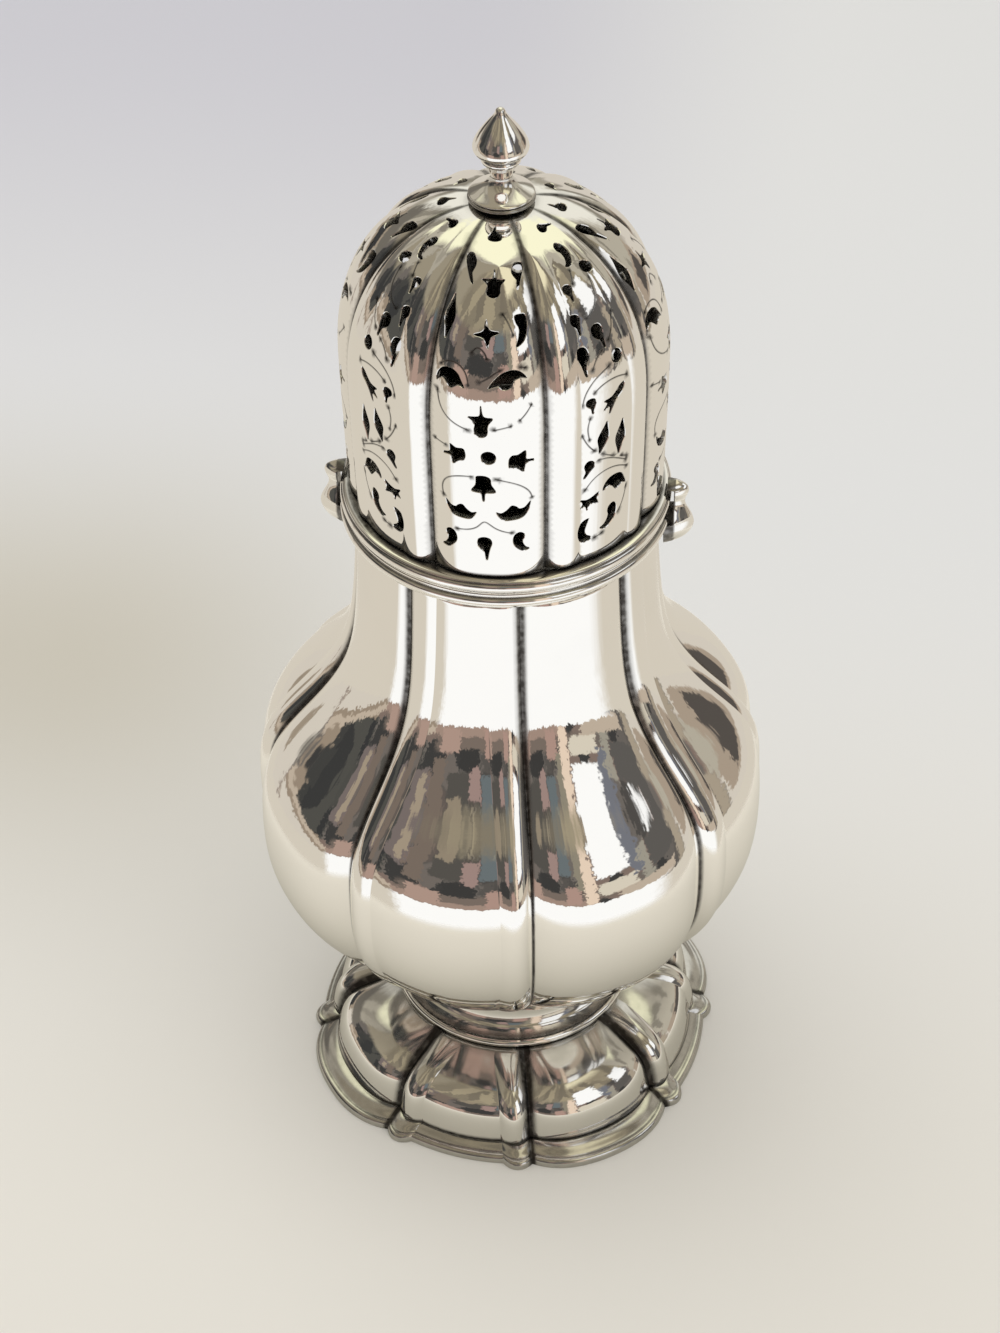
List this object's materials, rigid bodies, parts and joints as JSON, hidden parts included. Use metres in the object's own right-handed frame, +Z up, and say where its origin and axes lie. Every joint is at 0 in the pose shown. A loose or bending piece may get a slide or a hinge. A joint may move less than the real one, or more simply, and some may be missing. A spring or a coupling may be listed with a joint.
{
  "type": "sugar caster",
  "caption": "Lobed pear-shaped sugar caster on a spreading lobed foot, with a tall pierced and engraved domed cover that lifts off its bayonet lugs, and a bud finial.",
  "frame": {"origin": "on the caster's axis, at the level that the foot stands on", "axes": "+Z up the axis to the finial, -Y the side that the picture shows, -X and +X through the cover's lugs"},
  "size_m": [0.0786, 0.0786, 0.1772],
  "materials": {
    "raised_silver": "polished silver sheet with soft hand marks, dark in the grooves",
    "pierced_silver": "polished silver sheet, pierced and engraved",
    "cast_silver": "polished cast and turned silver, dark in the hollows",
    "inner_silver": "unpolished tarnished silver"
  },
  "bodies": {
    "base": {"foot_flange": "cast_silver", "foot_dome": "raised_silver", "foot_ring": "cast_silver", "foot_neck": "raised_silver", "body": "raised_silver", "body_rim": "cast_silver"},
    "finial_assembly": {"finial": "cast_silver", "finial_plate": "inner_silver", "finial_stud": "inner_silver", "finial_washer": "inner_silver", "finial_nut": "inner_silver"},
    "cover": {"cover_dome": "pierced_silver", "cover_rim": "cast_silver", "cover_bezel": "inner_silver", "lug_left": "cast_silver", "lug_right": "cast_silver"}
  },
  "joints": [
    {"name": "cover_lift", "type": "slide", "parent": "base", "child": "finial_assembly", "axis": [0, 0, 1], "range_m": [0, 0.06]},
    {"name": "cover_turn", "type": "hinge", "parent": "finial_assembly", "child": "cover", "pos_m": [0, 0, 0.1155], "axis": [0, 0, 1], "continuous": true}
  ]
}
